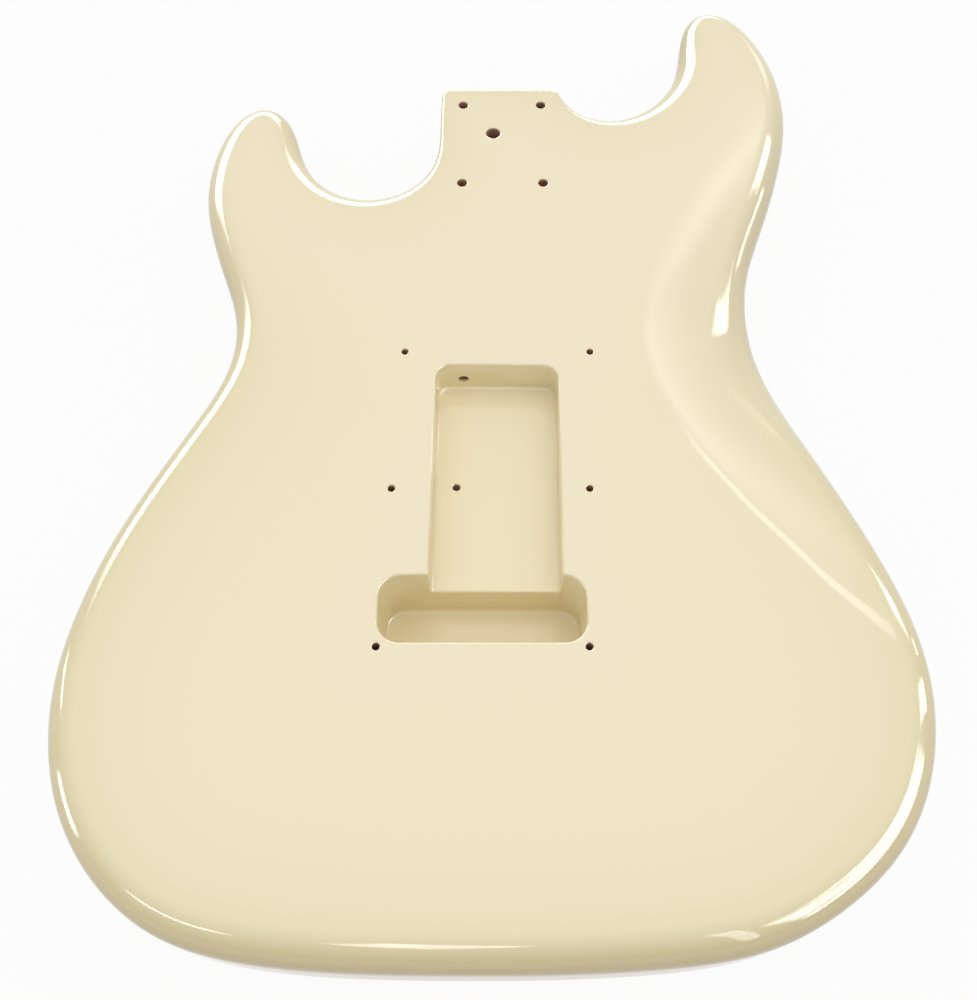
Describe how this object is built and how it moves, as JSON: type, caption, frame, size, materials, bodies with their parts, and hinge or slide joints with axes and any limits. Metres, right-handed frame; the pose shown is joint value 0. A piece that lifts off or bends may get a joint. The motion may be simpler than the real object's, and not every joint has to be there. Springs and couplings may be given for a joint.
{
  "type": "electric guitar body",
  "caption": "Solid double-cutaway electric guitar body in gloss cream, bare of hardware, with routs, a bare neck pocket, and belly and forearm contours.",
  "frame": {"origin": "under the middle of the body, on the plane its front face rests on", "axes": "+Z from the front face up to the back face, +Y from the butt to the neck, +X from the treble side to the bass side"},
  "size_m": [0.327, 0.459, 0.0444],
  "materials": {
    "cream_gloss": "thick high-gloss cream polyester, slightly yellowed, smooth over rounded edges and inside the routs",
    "body_wood": "bare reddish brown hardwood with fine open grain, cut clean in the neck pocket and ragged in the drilled holes"
  },
  "bodies": {
    "root": {"front_coat": "cream_gloss", "back_coat": "cream_gloss", "wiring_rout_coat": "cream_gloss", "jack_rout_coat": "cream_gloss", "centre_board": "body_wood", "treble_inner_board": "body_wood", "bass_inner_board": "body_wood", "treble_bout_board": "body_wood", "bass_bout_board": "body_wood", "treble_horn_board": "body_wood", "bass_horn_board": "body_wood"}
  },
  "joints": []
}
